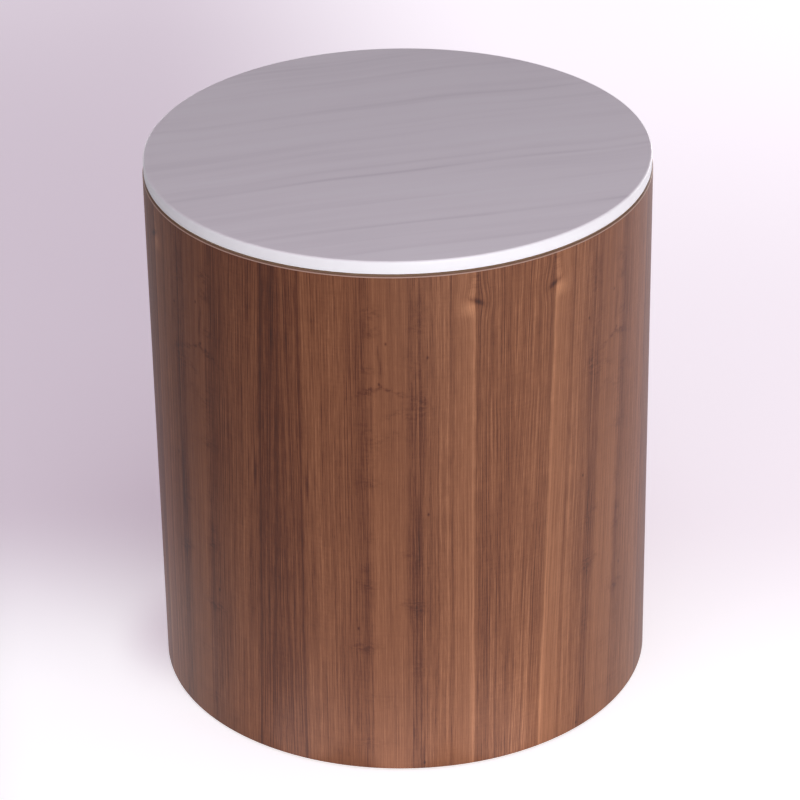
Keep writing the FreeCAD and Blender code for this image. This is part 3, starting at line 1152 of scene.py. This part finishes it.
studio = {
    "floorSize": 14.0,
    "floorColour": (0.86, 0.855, 0.87, 1.0),
    "floorRoughness": 0.9,
    "glowLeft": (0.205, 0.14, 0.195, 1.0),    # painted light: what the floor adds to its lit colour, seen straight and in reflections; a bright pool in front of the table, darker to the left and far off
    "glowRight": (0.45, 0.39, 0.44, 1.0),
    "glowBack": (0.54, 0.49, 0.54, 1.0),
    "glowFront": (0.58, 0.57, 0.59, 1.0),
    "glowFar": (0.16, 0.15, 0.16, 1.0),
    "glowAside": (0.03, 0.03, 0.03, 1.0),
    "glowFoot": (0.37, 0.32, 0.37, 1.0),      # painted shadow on the floor, close to the wall on the shaded side
    "aslant": 0.17,            # left and right part along a line that leans this much
    "toRight": (-0.15, 0.37),  # where each painted light begins and where it is full
    "toBack": (0.6, 1.5),
    "toFront": (0.26, -0.12),
    "toFar": (-0.34, -0.62),
    "toAside": (-0.36, -0.56),
    "footShadowReach": (0.29, 0.235),
    "footShadowLeft": (0.0, -0.1),
    "footShadowBack": (-0.13, 0.02),
    "middle": (0.15, 0.65),    # beyond the part in view the floor runs out into the backdrop's colour
    "plainFrom": 1.1,
    "plainTo": 2.2,
    "plainColour": (0.02, 0.02, 0.02, 1.0),
    "plainGlow": (0.42, 0.405, 0.43, 1.0),
    "worldColour": (0.86, 0.825, 0.88, 1.0),
    "worldStrength": 0.30,
    "worldSeen": 0.5,
    "lamps": [                 # name, place, aim, width, height, watts, colour
        ("keyLamp", (0.90, -2.50, 0.62), (0, 0, 0.30), 1.6, 1.0, 39, (0.98, 0.995, 1.0)),
        ("fillLamp", (-1.9, -1.9, 0.9), (0, 0, 0.25), 1.6, 1.4, 12, (0.96, 0.97, 1.0)),
        ("sideLamp", (2.5, -0.9, 0.8), (0, 0, 0.25), 1.6, 1.4, 13.4, (0.98, 0.98, 1.0)),
        ("rearLampRight", (1.7, 2.1, 0.31), (0, 0, 0.31), 1.6, 0.6, 20, (1.0, 0.98, 1.0)),
        ("rearLampLeft", (-0.9, 2.55, 0.31), (0, 0, 0.31), 1.6, 0.6, 9, (1.0, 0.98, 1.0)),
        ("topLamp", (0.0, -0.9, 2.4), (0, 0, 0.4), 2.2, 2.2, 8.6, (1.0, 0.77, 0.965)),
    ],
    "floorLamps": [            # small round ones that shine up from the floor: name, place, watts
        ("floorLampLeft", (-0.124, -0.266), 0.036),
        ("floorLampMiddle", (0.0, -0.293), 0.041),
        ("floorLampRight", (0.124, -0.266), 0.036),
    ],
    "floorLampSize": 0.125,
    "floorLampHeight": 0.001,
    "floorLampColour": (1.0, 0.985, 1.0),
}


def addSeen(tree):             # rays that show the background: straight, mirrored or through glass
    path = tree.nodes.new("ShaderNodeLightPath").outputs
    others = addMath(tree, "MAXIMUM", path["Is Glossy Ray"], path["Is Transmission Ray"])
    return addMath(tree, "MAXIMUM", path["Is Camera Ray"], others)


def paintFloor():
    material, tree, shader = newMaterial("paleFloor")
    x, y = splitSpot(tree, objectSpot(tree))[:2]
    # painted light on the floor, in zones, which the wood also shows in its reflections
    aside = addMath(tree, "ADD", x, addProduct(tree, y, studio["aslant"]))
    glow = addMix(tree, addRange(tree, y, *studio["toBack"]), studio["glowRight"], studio["glowBack"])
    glow = addMix(tree, addRange(tree, aside, *studio["toRight"]), studio["glowLeft"], glow)
    for way, zone in ((y, "Front"), (y, "Far"), (aside, "Aside")):
        glow = addMix(tree, addRange(tree, way, *studio["to" + zone]), glow, studio["glow" + zone])
    # painted shadow: the floor's glow is dimmed close to the table's foot on the left
    footShadowMask = addRange(tree, addLength(tree, x, y), *studio["footShadowReach"])
    for way, zone in ((x, "footShadowLeft"), (y, "footShadowBack")):
        footShadowMask = addProduct(tree, footShadowMask, addRange(tree, way, *studio[zone]))
    glow = addMix(tree, footShadowMask, glow, studio["glowFoot"])
    away = [addMath(tree, "SUBTRACT", way, middle) for way, middle in zip((x, y), studio["middle"])]
    plain = addRange(tree, addLength(tree, *away), studio["plainFrom"], studio["plainTo"])
    fill(tree, shader, {
        "Base Color": addMix(tree, plain, studio["floorColour"], studio["plainColour"]),
        "Roughness": studio["floorRoughness"],
        "Emission Color": addMix(tree, plain, glow, studio["plainGlow"]),
        "Emission Strength": addSeen(tree),
    })
    return material


def addLamp(name, place, aim, width, tall, watts, colour, shape="RECTANGLE"):
    lamp = bpy.data.lights.new(name, "AREA")
    lamp.shape = shape
    lamp.size = width
    lamp.size_y = tall
    lamp.energy = watts
    lamp.color = colour
    holder = bpy.data.objects.new(name, lamp)
    bpy.context.scene.collection.objects.link(holder)
    holder.location = place
    holder.rotation_euler = (Vector(aim) - Vector(place)).to_track_quat("-Z", "Y").to_euler()
    holder.visible_camera = False


def makeStudio():
    scene = bpy.context.scene
    scene.view_settings.view_transform = "Standard"
    clearAll()
    bpy.ops.mesh.primitive_plane_add(size=studio["floorSize"], location=(0, 0, 0))
    floor = bpy.context.object
    floor.name = "studioFloor"
    floor.data.materials.append(paintFloor())
    world = bpy.data.worlds.new("studioWorld")
    scene.world = world
    world.use_nodes = True
    tree = world.node_tree
    strength = addRange(tree, addSeen(tree), 0, 1, studio["worldStrength"], studio["worldSeen"], "LINEAR")
    fill(tree, tree.nodes["Background"], {"Color": studio["worldColour"], "Strength": strength})
    for settings in studio["lamps"]:
        addLamp(*settings)
    for name, (x, y), watts in studio["floorLamps"]:
        size = studio["floorLampSize"]
        addLamp(name, (x, y, studio["floorLampHeight"]), (x, y, 1), size, size, watts,
                studio["floorLampColour"], "DISK")
    print("studio done")


makeStudio()

photoCamera = {
    "lens": 156.41,            # millimetres, as the sensor
    "sensor": 36,
    "place": (0.0830, -2.8299, 1.8187),
    "turn": (61.148, 0.827, 1.2532),
}


def makeCamera():
    lens = bpy.data.cameras.new("photoCamera")
    lens.lens = photoCamera["lens"]
    lens.sensor_width = photoCamera["sensor"]
    camera = bpy.data.objects.new("photoCamera", lens)
    bpy.context.scene.collection.objects.link(camera)
    camera.location = photoCamera["place"]
    camera.rotation_euler = [math.radians(angle) for angle in photoCamera["turn"]]
    bpy.context.scene.camera = camera
    print("camera done")


makeCamera()
